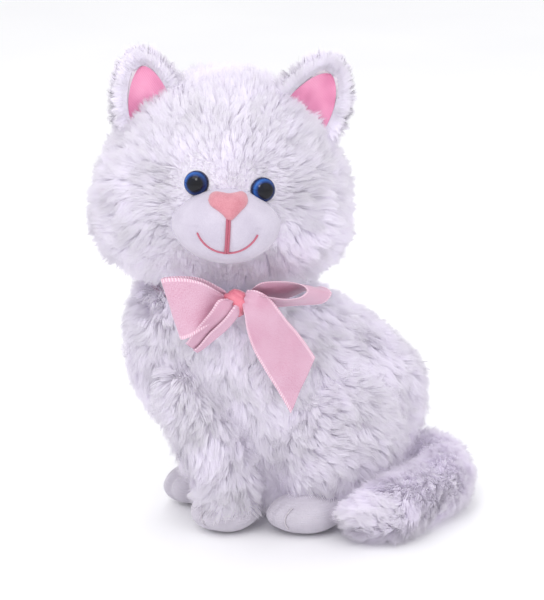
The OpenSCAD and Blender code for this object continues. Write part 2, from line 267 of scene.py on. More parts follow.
class Paint:
    """One material, made from node expressions."""

    def __init__(self, name):
        self.material = bpy.data.materials.new(name)
        self.material.use_nodes = True
        self.tree = self.material.node_tree
        self.tree.nodes.clear()
        self.output = self.tree.nodes.new("ShaderNodeOutputMaterial")

    def node(self, kind, settings=None, inputs=None, out=0):
        """Adds a node: settings first, then what goes into its sockets; gives one output."""
        node = self.tree.nodes.new(kind)
        for key, value in (settings or {}).items():
            if key == "stops":
                ramp = node.color_ramp
                while len(ramp.elements) < len(value):
                    ramp.elements.new(0.5)
                for element, (place, colour) in zip(ramp.elements, value):
                    element.position, element.color = place, (*colour, 1)
            else:
                setattr(node, key, value)
        for key, value in (inputs or {}).items():
            if isinstance(value, Value):
                self.tree.links.new(value.socket, node.inputs[key])
            else:
                node.inputs[key].default_value = value
        return Value(self, node.outputs[out])

    def ramp(self, factor, *stops):
        return self.node("ShaderNodeValToRGB", {"stops": stops}, {"Fac": factor})

    def mix(self, factor, first, second):
        settings = {"data_type": "RGBA"}
        first, second = ((*c, 1) if isinstance(c, tuple) else c for c in (first, second))
        return self.node("ShaderNodeMix", settings, {0: factor, 6: first, 7: second}, out=2)

    def place(self):
        return self.node("ShaderNodeTexCoord", out="Object")

    def speckle(self, scale, detail=3.0, where=None, out="Fac"):
        vector = where or self.place()
        inputs = {"Vector": vector, "Scale": scale, "Detail": detail}
        return self.node("ShaderNodeTexNoise", None, inputs, out=out)

    def stretch(self, vector, scale):
        return self.node("ShaderNodeMapping", None, {"Vector": vector, "Scale": scale})

    def uv(self, name):
        return self.node("ShaderNodeUVMap", {"uv_map": name})

    def split(self, vector, axis):
        return self.node("ShaderNodeSeparateXYZ", None, {0: vector}, out=axis)

    def bump(self, height, strength, distance):
        inputs = {"Height": height, "Strength": strength, "Distance": distance}
        return self.node("ShaderNodeBump", None, inputs)

    def finish(self, shader):
        self.tree.links.new(shader.socket, self.output.inputs["Surface"])
        return self.material

    def principled(self, **inputs):
        named = {key.replace("_", " "): value for key, value in inputs.items()}
        return self.node("ShaderNodeBsdfPrincipled", None, named)


def rgb(r, g, b):
    """An sRGB colour of 0 to 255 as linear light."""
    s = np.array([r, g, b]) / 255
    return tuple(float(x) for x in np.where(s <= 0.04045, s / 12.92, ((s + 0.055) / 1.055) ** 2.4))


# The roots are a little greyer than the tips: painted shade deep in the pile.
FUR_ROOT_SHADE = rgb(247, 242, 250)
FUR_MID = rgb(250, 247, 255)
FUR_TIP = rgb(254, 252, 255)
FUR_WARM = rgb(246, 240, 232)
FUR_TINT = 0.75
# The faint glow stands for light that scatters from strand to strand.
FUR_GLOW = 0.11
FUR_THROUGH = 0.45


def fur_paint():
    """Strands: greyer at the root, a painted shade for the depth of the pile, and white at the tip, each with
    its own shade. The strand's own map holds the way along it and its shade."""
    p = Paint("long_pile_strands")
    uv = p.uv("OFBake")
    along, shade = p.split(uv, 0), p.split(uv, 1)
    base = p.ramp(along, (0.0, FUR_ROOT_SHADE), (0.45, FUR_MID), (0.9, FUR_TIP))
    tint = p.ramp(shade, (0.0, FUR_WARM), (0.3, rgb(247, 245, 251)), (0.7, rgb(252, 251, 255)),
                  (1.0, (1, 1, 1)))
    colour = p.node("ShaderNodeMix", {"data_type": "RGBA", "blend_type": "MULTIPLY"},
                    {0: FUR_TINT, 6: base, 7: tint}, out=2)
    body = p.principled(Base_Color=colour, Roughness=0.75, Specular_IOR_Level=0.2,
                        Emission_Color=colour, Emission_Strength=FUR_GLOW)
    through = p.node("ShaderNodeBsdfTranslucent", None, {"Color": (*rgb(252, 248, 255), 1)})
    return p.finish(p.node("ShaderNodeMixShader", None, {0: FUR_THROUGH, 1: body, 2: through}))


def backing_paint():
    """The knitted backing between the strands, seen only deep in the pile. Its colour is a little greyer than
    the strands' tips: painted shade.
    """
    p = Paint("pile_backing")
    fleck = p.speckle(900, 2)
    # A little greyer than the fur's tips: painted shade deep in the pile.
    colour = p.ramp(fleck, (0.3, rgb(238, 233, 242)), (0.7, rgb(248, 245, 250)))
    normal = p.bump(p.speckle(1500, 4), 0.5, 0.0006)
    return p.finish(p.principled(Base_Color=colour, Roughness=0.95, Normal=normal))


def velour_paint(name, low, high, rib=0.0):
    """Short brushed pile: soft blotches, a fine grain and, on the paws, faint ribs."""
    p = Paint(name)
    where = p.place()
    blotch = p.speckle(90, 3)
    grain = p.speckle(1900, 5)
    colour = p.ramp(blotch * 0.6 + grain * 0.4, (0.32, low), (0.68, high))
    height = grain * 0.8 + p.speckle(700, 3) * 0.6
    if rib:
        wave = p.node("ShaderNodeTexWave", {"bands_direction": "Z"},
                      {"Vector": where, "Scale": 290.0, "Distortion": 1.5, "Detail": 2.0,
                       "Detail Scale": 1.2},
                      out="Fac")
        height = height + wave * rib
    normal = p.bump(height, 0.55, 0.0005)
    return p.finish(p.principled(Base_Color=colour, Roughness=0.9, Sheen_Weight=0.35,
                                 Sheen_Roughness=0.5, Normal=normal))


def satin_paint():
    """Pink satin of the ears: a fine weave and a soft sheen, with painted shade for its folds as darker pink
    in soft blotches.
    """
    p = Paint("ear_satin")
    where = p.place()
    weave = p.node("ShaderNodeTexWave", {"bands_direction": "DIAGONAL"},
                   {"Vector": where, "Scale": 420.0, "Distortion": 0.6, "Detail": 1.0}, out="Fac")
    blotch = p.speckle(70, 3)
    # Darker pink blotches: painted shade.
    colour = p.ramp(blotch * 0.85 + weave * 0.15, (0.3, rgb(206, 116, 156)), (0.52, rgb(228, 142, 180)),
                    (0.75, rgb(240, 166, 198)))
    normal = p.bump(weave * 0.5 + p.speckle(500, 4) * 0.8, 0.35, 0.0004)
    return p.finish(p.principled(Base_Color=colour, Roughness=0.5, Sheen_Weight=0.5,
                                 Sheen_Roughness=0.35, Normal=normal))


# The lightest ribbon colours show where the sparkle is high: painted highlight.
RIBBON_LOW = rgb(208, 136, 164)
RIBBON_MID = rgb(222, 176, 200)
RIBBON_HIGH = rgb(240, 208, 224)


def ribbon_paint(name, low, mid, high, alpha):
    """Sheer ribbon: cross threads with a sparkle, and a tight woven edge with small loops. The sparkle also
    lightens the colour as a painted highlight, and the edge's loops carry painted near-white glints.
    """
    p = Paint(name)
    uv = p.uv("cloth")
    across = p.split(uv, 1)
    edge = p.node("ShaderNodeMath", {"operation": "ABSOLUTE"}, {0: across * 2 - 1})
    border = p.node("ShaderNodeMapRange", None, {"Value": edge, 1: 0.86, 2: 0.9})
    picot = p.node("ShaderNodeTexWave", {"bands_direction": "X"},
                   {"Vector": p.stretch(uv, (1, 0.001, 1)), "Scale": 0.26, "Distortion": 0.4}, out="Fac")
    threads = p.node("ShaderNodeTexWave", {"bands_direction": "X"},
                     {"Vector": p.stretch(uv, (1, 0.2, 1)), "Scale": 0.62, "Distortion": 1.2, "Detail": 2.0},
                     out="Fac")
    sparkle = p.node("ShaderNodeTexNoise", None,
                     {"Vector": p.stretch(uv, (2.2, 42, 1)), "Scale": 1.0, "Detail": 3.0})
    # Lighter with the sparkle: painted highlight, mixed with the threads' pattern and a random tone.
    tone = sparkle * 0.55 + threads * 0.25 + p.speckle(60, 2) * 0.3
    colour = p.ramp(tone, (0.35, low), (0.55, mid), (0.82, high))
    # Painted highlight: the edge's small loops turn near-white.
    glint = border * (picot ** 3)
    colour = p.mix(glint * 0.75, colour, rgb(255, 240, 246))
    normal = p.bump(threads * 0.4 + sparkle * 0.6 + border * picot * 1.2, 0.4, 0.0003)
    opacity = p.node("ShaderNodeMapRange", None, {"Value": border + threads * 0.3, 3: alpha, 4: 1.0})
    rough = 0.45 - sparkle * 0.2
    return p.finish(p.principled(Base_Color=colour, Roughness=rough, Alpha=opacity, Sheen_Weight=0.4,
                                 Sheen_Roughness=0.3, Coat_Weight=0.15, Coat_Roughness=0.2,
                                 Normal=normal))


def felt_paint():
    """Brushed knit of the nose."""
    p = Paint("nose_knit")
    grain = p.speckle(1600, 5)
    tone = grain * 0.5 + p.speckle(160, 2) * 0.5
    colour = p.ramp(tone, (0.3, rgb(194, 117, 131)), (0.7, rgb(217, 149, 161)))
    return p.finish(p.principled(Base_Color=colour, Roughness=0.85, Sheen_Weight=0.4,
                                 Normal=p.bump(grain, 0.6, 0.0004)))


def thread_paint(name, low, high):
    """Twisted thread: slanting plies with a little shine."""
    p = Paint(name)
    uv = p.uv("cloth")
    ply = p.node("ShaderNodeTexWave", {"bands_direction": "DIAGONAL"},
                 {"Vector": p.stretch(uv, (1, 3, 1)), "Scale": 0.5, "Distortion": 0.5}, out="Fac")
    colour = p.ramp(ply, (0.2, low), (0.8, high))
    return p.finish(p.principled(Base_Color=colour, Roughness=0.5, Normal=p.bump(ply, 0.6, 0.0003)))


def eye_paint():
    """Glossy eye: a wide black pupil, and a blue ring that is brighter towards its upper corner
    and dark at its rim. The map holds the angle round the eye and the distance from its middle."""
    p = Paint("eye_gloss")
    uv = p.uv("cloth")
    radius = p.split(uv, 1)
    angle = p.split(uv, 0) * (2 * math.pi) - EYE_BRIGHT_SIDE
    turned = p.node("ShaderNodeMath", {"operation": "COSINE"}, {0: angle})
    glow = p.node("ShaderNodeMapRange", None, {"Value": turned, 1: -0.6, 2: 1.0})
    dark = p.ramp(radius, (0.0, rgb(8, 8, 16)), (0.6, rgb(10, 10, 20)), (0.7, rgb(12, 26, 66)),
                  (0.86, rgb(20, 44, 98)), (0.95, rgb(10, 18, 44)))
    light = p.ramp(radius, (0.0, rgb(8, 8, 16)), (0.58, rgb(12, 16, 34)), (0.68, rgb(22, 56, 122)),
                   (0.84, rgb(46, 104, 186)), (0.96, rgb(14, 30, 74)))
    return p.finish(p.principled(Base_Color=p.mix(glow, dark, light), Roughness=0.15, Coat_Weight=0.55,
                                 Coat_Roughness=0.02, Specular_IOR_Level=0.05))


def plain_paint(name, low, high, rough, grain=400.0):
    """A simple material with a fine grain, for pieces inside the toy."""
    p = Paint(name)
    fleck = p.speckle(grain, 3)
    colour = p.ramp(fleck, (0.35, low), (0.65, high))
    return p.finish(p.principled(Base_Color=colour, Roughness=rough, Normal=p.bump(fleck, 0.3, 0.0005)))


def floor_paint():
    """A pale, plain floor with a very faint mottle."""
    p = Paint("studio_floor")
    colour = p.ramp(p.speckle(3, 2), (0.3, rgb(248, 248, 250)), (0.7, rgb(252, 252, 253)))
    return p.finish(p.principled(Base_Color=colour, Roughness=0.6))


FUR = fur_paint()
BACKING = backing_paint()
MUZZLE_PILE = velour_paint("muzzle_velour", rgb(192, 184, 201), rgb(209, 202, 217))
PAW_PILE = velour_paint("paw_velour", rgb(186, 180, 192), rgb(205, 199, 211), rib=0.5)
SATIN = satin_paint()
RIBBON = ribbon_paint("ribbon_organza", RIBBON_LOW, RIBBON_MID, RIBBON_HIGH, 0.86)
# The knot's copy of the ribbon is a deeper, darker coral: partly the stacked layers of sheer ribbon, partly
# painted shade of its wrapped folds.
RIBBON_DEEP = ribbon_paint("ribbon_knotted", rgb(212, 96, 118), rgb(232, 128, 148), rgb(248, 168, 184), 1.0)
FELT = felt_paint()
THREAD = thread_paint("smile_thread", rgb(184, 84, 110), rgb(218, 128, 148))
WHITE_THREAD = thread_paint("toe_thread", rgb(206, 198, 208), rgb(236, 230, 238))
EYE = eye_paint()
FIBRE = plain_paint("polyester_fibre", rgb(232, 232, 236), rgb(250, 250, 250), 0.95, 300)
PELLET_CLOTH = plain_paint("pellet_bag_cloth", rgb(190, 188, 184), rgb(214, 212, 208), 0.9, 700)
WASHER = plain_paint("washer_plastic", rgb(220, 220, 220), rgb(236, 236, 236), 0.4, 120)
IRIS = plain_paint("iris_plastic", rgb(20, 50, 120), rgb(30, 70, 150), 0.3, 200)
FLOOR = floor_paint()


def place_piece(obj, body, material, replaces=()):
    """Gives a finished piece its material and body, and hides the CAD parts it replaces."""
    obj.data.materials.append(material)
    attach(obj, body)
    if replaces:
        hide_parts(*replaces)
    return obj


# ---------------------------------------------------------------- camera, light, floor

VIEW_AZIMUTH, VIEW_HEIGHT = math.radians(67), math.radians(16)
VIEW_DISTANCE = 1.05
VIEW_CENTRE = Vector((-0.0046, -0.0108, 0.110))
SENSOR_MM, LENS_MM = 36, 136.2457
LIGHT_AIM = Vector((0, 0, 0.12))
FLOOR_HALF = 6.0


def aim(obj, azimuth, height, distance, centre):
    """Sets obj at a distance from centre, turned azimuth from the front and raised by height,
    and points it at centre."""
    away = Vector((math.sin(azimuth) * math.cos(height), -math.cos(azimuth) * math.cos(height),
                   math.sin(height)))
    obj.location = centre + distance * away
    obj.rotation_euler = (-away).to_track_quat("-Z", "Y").to_euler()


def set_camera():
    """A long lens before the cat's left shoulder, a little above it."""
    data = bpy.data.cameras.new("camera")
    data.sensor_fit = "HORIZONTAL"
    data.sensor_width, data.lens = SENSOR_MM, LENS_MM
    camera = new_object("camera", data)
    aim(camera, VIEW_AZIMUTH, VIEW_HEIGHT, VIEW_DISTANCE, VIEW_CENTRE)
    bpy.context.scene.camera = camera


def add_light(name, azimuth, height, distance, size, power):
    """A white square light; angles in degrees, lengths in metres, power in watts."""
    data = bpy.data.lights.new(name, "AREA")
    data.shape, data.size, data.energy = "SQUARE", size, power
    aim(new_object(name, data), math.radians(azimuth), math.radians(height), distance, LIGHT_AIM)


def set_studio():
    """White surroundings, four soft lights and a floor."""
    world = bpy.data.worlds.new("studio")
    world.use_nodes = True
    background = world.node_tree.nodes["Background"]
    background.inputs["Color"].default_value = (0.99, 0.99, 1.0, 1)
    background.inputs["Strength"].default_value = 1.0
    scene = bpy.context.scene
    scene.world = world
    scene.view_settings.view_transform = "Standard"
    add_light("key", 40, 55, 1.1, 0.7, 2.4)
    add_light("window", 52, 36, 1.2, 0.26, 1.5)
    add_light("fill", 110, 30, 1.3, 0.9, 0.6)
    add_light("back", 250, 55, 1.2, 0.6, 1.6)
    floor = bpy.data.meshes.new("floor")
    corners = [(x * FLOOR_HALF, y * FLOOR_HALF, 0) for x, y in ((-1, -1), (1, -1), (1, 1), (-1, 1))]
    floor.from_pydata(corners, [], [(0, 1, 2, 3)])
    obj = new_object("floor", floor)
    floor.materials.append(FLOOR)


set_camera()
set_studio()

# ---------------------------------------------------------------- fur

STEPS = 2
ALONG = np.linspace(0, 1, STEPS + 1)
WIDTHS = np.array([1.0, 0.8])
STRAND_WIDTH, QUICK_WIDTH = 0.46, 1.8
WHORL_SIZE = 14.0
SHEEN_TILT = 0.25
FLOOR_GAP = 0.3


def scatter(points, count, rng, round_u=True, keep=None):
    """Random places spread evenly over a grid of points[v, u]: place and normal of each.
    A cell is drawn in proportion to its area, then a point within it."""
    points = outward(points) if round_u else points
    normals = grid_normals(points, round_u)
    nxt = np.roll(points, -1, 1) if round_u else points[:, 1:]
    a = points if round_u else points[:, :-1]
    nn = np.roll(normals, -1, 1) if round_u else normals[:, 1:]
    na = normals if round_u else normals[:, :-1]
    area = np.linalg.norm(np.cross(nxt[:-1] - a[:-1], a[1:] - a[:-1]), axis=-1)
    total = np.cumsum(area.ravel())
    cell = np.searchsorted(total, rng.uniform(0, total[-1], count))
    j, i = np.unravel_index(cell, area.shape)
    fu, fv = rng.uniform(0, 1, (2, count, 1))

    def blend(x, y):
        low = x[j, i] * (1 - fu) + y[j, i] * fu
        high = x[j + 1, i] * (1 - fu) + y[j + 1, i] * fu
        return low * (1 - fv) + high * fv

    place, normal = blend(a, nxt), unit(blend(na, nn))
    if keep is not None:
        kept = keep(place)
        place, normal = place[kept], normal[kept]
    return place, normal


def nearest(places, centres):
    """Index of the nearest centre to each place, in blocks."""
    found = np.empty(len(places), int)
    square = (centres ** 2).sum(1)
    for start in range(0, len(places), 4000):
        part = places[start:start + 4000]
        found[start:start + 4000] = (square - 2 * part @ centres.T).argmin(1)
    return found


def strand_path(root, normal, way, length, lift, droop):
    """Points along each strand. It leaves at the angle lift from the skin's normal and bends
    over towards droop, a step at a time."""
    path = [root]
    for step in range(STEPS):
        part = (step + 0.5) / STEPS
        angle = (lift + (droop - lift) * part)[:, None]
        path.append(path[-1] + (length / STEPS)[:, None] * (np.cos(angle) * normal + np.sin(angle) * way))
    return np.stack(path, 1)


def fur_mesh(name, path, side, width, shading, shade):
    """Flat tapering strands: a pair of points at each step and one at the tip."""
    n = len(path)
    half = (width[:, None] * WIDTHS * 0.5)[..., None] * side[:, None]
    pairs = np.stack([path[:, :STEPS] + half, path[:, :STEPS] - half], 2).reshape(n, 2 * STEPS, 3)
    points = np.concatenate([pairs, path[:, STEPS:]], 1)
    corners, starts, ways = [], [], []
    for k in range(STEPS):
        starts.append(len(corners))
        last = k == STEPS - 1
        corners += [2 * k, 2 * k + 1] + ([2 * k + 2] if last else [2 * k + 3, 2 * k + 2])
        ways += [k, k] + ([k + 1] if last else [k + 1, k + 1])
    per = 2 * STEPS + 1
    loops = (np.array(corners)[None] + per * np.arange(n)[:, None]).ravel()
    first = (np.array(starts)[None] + len(corners) * np.arange(n)[:, None]).ravel()
    u = np.broadcast_to(ALONG[ways][None], (n, len(corners)))
    v = np.broadcast_to(shade[:, None], (n, len(corners)))
    uv = np.stack([u * 0.98 + 0.01, v * 0.98 + 0.01], -1).reshape(-1, 2)
    mesh = mesh_from(name, points.reshape(-1, 3), loops, first, uv, "OFBake")
    normals = np.repeat(shading, per, axis=0)
    mesh.normals_split_custom_set_from_vertices(normals.astype(np.float32))
    return new_object(name, mesh)


def grow(name, body, place, normal, flow, length, lift, droop, seed, tuft=40, clump=0.45, swirl=0.6,
         parts=1, bias=(0, 0, 0)):
    """Fur on the skin places. flow gives the lie of the pile; noise turns it in whorls, and
    strands gather into tufts whose tips close up. bias leans the shading. Long coats are cut
    into parts pieces."""
    rng = np.random.default_rng(seed)
    n = len(place)
    length = np.broadcast_to(np.asarray(length, float), (n,))
    way = onto_plane(flow(place, normal), normal)
    wander = noise(place, WHORL_SIZE, seed * 0.37)
    cross = np.cross(normal, way)
    fine = noise(place, WHORL_SIZE * 0.35, seed)
    spin = (swirl * wander[:, :1] + 0.25 * fine[:, :1]) * np.pi * 0.6
    way = np.cos(spin) * way + np.sin(spin) * cross
    lead = rng.choice(n, max(4, n // tuft), replace=False)
    mine = nearest(place, place[lead])
    lift_own = np.radians(lift + 12 * wander[:, 1] + rng.normal(0, 8, n))
    droop_own = np.radians(droop + 14 * wander[:, 2] + rng.normal(0, 8, n))
    reach = length * rng.uniform(0.78, 1.1, n) * (1 + 0.18 * wander[:, 2])
    way_own = unit(way + 0.16 * rng.normal(0, 1, (n, 3)))
    way_lead = unit(way[lead] + 0.22 * rng.normal(0, 1, (len(lead), 3)))
    reach_lead = length[lead] * rng.uniform(0.85, 1.25, len(lead))
    own = strand_path(place, normal, way_own, reach, lift_own, droop_own)
    leads = strand_path(place[lead], normal[lead], way_lead, reach_lead, lift_own[lead] * 0.9,
                        droop_own[lead] * 0.92)[mine]
    pull = (clump * ALONG ** 1.3)[None, :, None]
    path = own * (1 - pull) + leads * pull
    path[..., 2] = np.maximum(path[..., 2], FLOOR_GAP + 0.4 * rng.uniform(0, 1, (n, 1)))
    heading = unit(path[:, 1] - path[:, 0])
    side = unit(np.cross(normal, heading))
    face = np.cross(heading, side)
    puff = 0.26 * noise(place, 7, 0.4) + 0.2 * noise(place, 16, 0.9)
    shading = unit(normal + SHEEN_TILT * way_lead[mine] + puff + 0.12 * face + np.asarray(bias)
                   + 0.05 * rng.normal(0, 1, (n, 3)))
    shade = np.clip(0.6 + 0.2 * noise(place, 20, 3.1)[:, 0] + 0.08 * rng.normal(0, 1, n)
                    + 0.1 * rng.normal(0, 1, len(lead))[mine], 0, 1)
    breadth = STRAND_WIDTH * rng.uniform(0.7, 1.3, n) * 1
    x, y = (place[:, k] - place[:, k].mean() for k in (0, 1))
    order = np.argsort(np.arctan2(y, x))
    for index, chosen in enumerate(np.array_split(order, parts)):
        label = name if parts == 1 else f"{name}_{index + 1}"
        obj = fur_mesh(label, path[chosen], side[chosen], breadth[chosen], shading[chosen], shade[chosen])
        place_piece(obj, body, FUR)


# Strands in each coat, and the pile's length on it.
BODY_STRANDS, BODY_PILE = 150000, 10.5
HAUNCH_STRANDS = 30000
LEG_STRANDS, LEG_PILE = 22000, 9.5
TAIL_STRANDS = 60000
HEAD_STRANDS, HEAD_PILE = 150000, 11.0
EAR_STRANDS, EAR_PILE, EAR_RIM_PILE = 6500, 9.0, 6.5


def strands(count):
    return int(count * STRAND_SHARE)


# ---------------------------------------------------------------- body

BODY_HALF = 37
SHOULDER = 123
# height, front, back, half width of the body at its widest, from the seat to the neck
BODY_ROWS = np.array([
    [2, -20, 48, 26],
    [10, -30, 58, 32],
    [29, -40, 62, BODY_HALF - 2],
    [50, -64, 70.5, BODY_HALF],
    [73, -83, 65, BODY_HALF + 2],
    [94, -87.5, 41, BODY_HALF + 2],
    [110, -87, 17, BODY_HALF + 1],
    [SHOULDER - 5, -83, 2, BODY_HALF],
    [SHOULDER, -76, -8, 34],
    [SHOULDER - 3.5, -69, -15, 27],
    [SHOULDER - 5.5, -63, -21, 21]])


def body_grid(columns, rows, depth):
    """Lofted body: each height is an ellipse from front to back; depth moves the skin in."""
    keys = BODY_ROWS + np.array([0, depth, -depth, -depth])
    low, high = keys[0].copy(), keys[-1].copy()
    low[1:3], low[3] = low[1:3].mean(), 0
    high[1:3], high[3] = high[1:3].mean(), 0
    shape = spline(keys, np.linspace(0, 1, rows))
    shape = np.concatenate([[low], shape, [high]])[:, None]
    u = angles(columns)[None]
    half = (shape[..., 2] - shape[..., 1]) / 2
    return np.stack([shape[..., 3] * np.cos(u), (shape[..., 1] + shape[..., 2]) / 2 + half * np.sin(u),
                     np.broadcast_to(shape[..., 0], (rows + 2, columns))], -1)


def ball_grid(middle, radii, columns, rows, flat_under=None):
    """Ellipsoid from its lowest pole to its highest, pressed flat under flat_under."""
    a = np.linspace(-np.pi / 2, np.pi / 2, rows)[:, None]
    u = angles(columns)[None]
    p = np.stack([np.cos(a) * np.cos(u), np.cos(a) * np.sin(u), np.sin(a) + 0 * u], -1) * radii + middle
    if flat_under is not None:
        p[..., 2] = np.maximum(p[..., 2], flat_under)
    return p


def inside_ball(p, middle, radii):
    """Which points lie inside an ellipsoid."""
    return (((p - middle) / radii) ** 2).sum(-1) < 1


HAUNCH_MID = np.array([29, 10, 43])
HAUNCH_HALF = np.array([20, 34, 40])
LEG_ROWS = np.array([
    [13, 13, 14, -46],
    [17, 14, 15, -46],
    [30, 15, 16, -48],
    [50, 16.5, 18, -55],
    [70, 15.5, 17, -64],
    [86, 9, 10, -72]])
PAW_X = 21


def mirror_x(points, side):
    """Mirrors a grid to the other side and keeps its faces outwards."""
    return points if side > 0 else (points * np.array([-1, 1, 1]))[:, ::-1]


# How much further back and slimmer the right leg is at each of those heights.
RIGHT_LEG_SET = np.array([
    [0, 2, 2, -7],
    [0, 2, 2, -8],
    [0, 3, 3, -9],
    [0, 2, 2, -8],
    [0, 0, 0, -4],
    [0, 0, 0, 0]])


def leg_grid(side, columns, rows, depth):
    """Column of the front leg: an oval at each height, closed at both ends."""
    keys = LEG_ROWS - np.array([0, depth, depth, 0]) - (RIGHT_LEG_SET if side < 0 else 0)
    shape = spline(keys, np.linspace(0, 1, rows))
    low, high = shape[0].copy(), shape[-1].copy()
    low[1:3], high[1:3] = 0, 0
    high[0] += 3
    shape = np.concatenate([[low], shape, [high]])[:, None]
    u = angles(columns)[None]
    p = np.stack([PAW_X + shape[..., 1] * np.cos(u), shape[..., 3] + shape[..., 2] * np.sin(u),
                  np.broadcast_to(shape[..., 0], (len(shape), columns))], -1)
    return mirror_x(p, side)


def skin(name, points, body, replaces):
    """A closed, padded backing for a coat of fur."""
    obj = grid_object(name, outward(points), poles=(True, True))
    place_piece(obj, body, BACKING, replaces)


SIDES = {"left": 1, "right": -1}


def body_flow(p, n):
    """The pile lies down the chest and down and back over the flanks and the rump."""
    back = np.clip((p[:, 1] + 55) / 70, 0, 1)
    return np.stack([p[:, 0] * 0.004, -0.12 + 0.75 * back, -1 + 0 * back], -1)


def build_body():
    """Trunk, haunches and front legs, each a closed skin with its own coat."""
    grid = body_grid(96, 70, PILE_DEPTH)
    skin("body_skin", grid, "torso", ("body_side_left", "body_side_right", "chest_panel"))
    legs = {side: leg_grid(side, 48, 40, PILE_DEPTH) for side in SIDES.values()}

    def shows(p):
        hidden = (p[:, 2] < 9) | (p[:, 2] > SHOULDER - 2) & (np.hypot(p[:, 0], p[:, 1] - NECK[1]) < 30)
        for side in SIDES.values():
            middle = HAUNCH_MID * np.array([side, 1, 1])
            hidden |= inside_ball(p, middle, HAUNCH_HALF - PILE_DEPTH - 1)
        return ~hidden

    place, normal = scatter(grid, strands(BODY_STRANDS), RNG, keep=shows)
    grow("body_fur", "torso", place, normal, body_flow, length=BODY_PILE, parts=3,
         seed=1, lift=28, droop=74, swirl=0.55)
    for label, side in SIDES.items():
        middle = HAUNCH_MID * np.array([side, 1, 1])
        ball = ball_grid(middle, HAUNCH_HALF - PILE_DEPTH, 64, 40)
        skin(f"haunch_skin_{label}", ball, "torso", (f"haunch_{label}",))
        place, normal = scatter(ball, strands(HAUNCH_STRANDS), RNG,
                                keep=lambda p: (side * p[:, 0] > 27) & (p[:, 2] > 6))
        grow(f"haunch_fur_{label}", "torso", place, normal,
             lambda p, n: np.stack([0 * p[:, 0], 0.6 + 0 * p[:, 0], -0.75 + 0 * p[:, 0]], -1),
             length=BODY_PILE, seed=4 + side, lift=26, droop=72, swirl=0.75)
        skin(f"front_leg_skin_{label}", legs[side], "torso", (f"front_leg_{label}",))
        place, normal = scatter(legs[side], strands(LEG_STRANDS), RNG,
                                keep=lambda p: p[:, 2] > 15)
        grow(f"front_leg_fur_{label}", "torso", place, normal,
             lambda p, n: np.array([[0, -0.35, -1]]) + 0 * p,
             length=LEG_PILE, seed=8 + side, lift=24, droop=66, swirl=0.4)


build_body()

# ---------------------------------------------------------------- paws and seat

PAW_HALF = np.array([14.5, 19, 10.5])
HIND_HALF = np.array([14.5, 22, 10.5])
FRONT_PAW_Y, HIND_PAW_X, HIND_PAW_Y = -46, 39, -9
FRONT_TOES = (-5, 5)
HIND_TOES = (1.5, 8)


def paw_grid(middle, half, toes, depth, side):
    """Paw: a plump ellipsoid, flat below, with a soft groove between its toes."""
    grid = ball_grid(np.zeros(3), half, 96, 64)
    x, y = grid[..., 0], grid[..., 1]
    plump = 1 + 0.05 * np.cos(3 * np.arctan2(y, x))
    front = np.clip(-y / half[1], 0, 1) ** 1.5
    for toe in toes:
        groove = np.exp(-((x - toe) / 1.5) ** 2) * front
        grid = grid * (1 - depth * groove[..., None])
    grid[..., :2] *= plump[..., None]
    grid = grid + middle
    z = grid[..., 2]
    grid[..., 2] = np.where(z < 1.2, 0.25 + 0.8 * np.maximum(z / 1.2, 0), z)
    return mirror_x(grid, side)


def tube_grid(path, radius, columns=10, up=(0, 0, 1)):
    """Round tube along a path, closed by poles at both ends. radius may vary along it."""
    path = np.asarray(path, float)
    along = unit(np.gradient(path, axis=0))
    across = unit(np.cross(np.asarray(up, float), along))
    rise = np.cross(along, across)
    radius = np.broadcast_to(radius, (len(path),))[:, None, None]
    u = -angles(columns)[None, :, None]
    ring = path[:, None] + radius * (np.cos(u) * across[:, None] + np.sin(u) * rise[:, None])
    start = np.broadcast_to(path[:1, None], (1, columns, 3))
    end = np.broadcast_to(path[-1:, None], (1, columns, 3))
    return np.concatenate([start, ring, end])


def build_paws():
    """Four paws, and the thread that runs down each groove between toes."""
    threads = []
    for label, side in SIDES.items():
        for kind, x, y, half, toes, depth in (("front", PAW_X, FRONT_PAW_Y, PAW_HALF, FRONT_TOES, 0.12),
                                              ("hind", HIND_PAW_X, HIND_PAW_Y, HIND_HALF, HIND_TOES, 0.05)):
            middle = np.array([x, y, half[2]])
            grid = paw_grid(middle, half, toes, depth, side)
            obj = grid_object(f"{kind}_paw_velour_{label}", grid, poles=(True, True))
            place_piece(obj, "torso", PAW_PILE, (f"{kind}_paw_{label}",))
            for toe in toes:
                t = np.linspace(-0.5, 0.75, 14)
                reach = half[1] * np.sqrt(1 - (toe / half[0]) ** 2) * 0.9
                path = np.stack([0 * t + side * (x + toe), y - reach * np.cos(t) - 0.2,
                                 half[2] * (1 + 0.9 * np.sin(t))], -1)
                threads.append(tube_grid(path, 0.35, 8, up=(1, 0, 0)))
    obj = join_tubes("toe_threads", threads)
    place_piece(obj, "torso", WHITE_THREAD, ("toe_stitches",))


def join_tubes(name, grids):
    """One object of several tubes."""
    parts = [grid_object(f"{name}_{k}", g, poles=(True, True), uv_size=(1, 30))
             for k, g in enumerate(grids)]
    first = parts[0]
    with bpy.context.temp_override(active_object=first, selected_editable_objects=parts, object=first):
        bpy.ops.object.join()
    first.name = name
    return first


def build_seat():
    """Seat panel: an oval of short pile with a softly rounded edge."""
    low, high = box_mm("seat_panel")
    middle, half = (low + high) / 2, (high - low) / 2
    t = np.linspace(-np.pi / 2, np.pi / 2, 9)
    rim = np.stack([np.cos(t) * half[2], np.sin(t) * half[2]], -1)
    profile = np.concatenate([[[-half[0], -half[2]]], rim, [[-half[0], half[2]]]])
    u = angles(64)[None]
    scale = (half[0] - half[2] + profile[:, :1]) / half[0]
    p = np.stack([middle[0] + half[0] * scale * np.cos(u), middle[1] + half[1] * scale * np.sin(u),
                  middle[2] + profile[:, 1:] + 0 * u], -1)
    obj = grid_object("seat_panel_velour", p, poles=(True, True))
    place_piece(obj, "torso", PAW_PILE, ("seat_panel",))


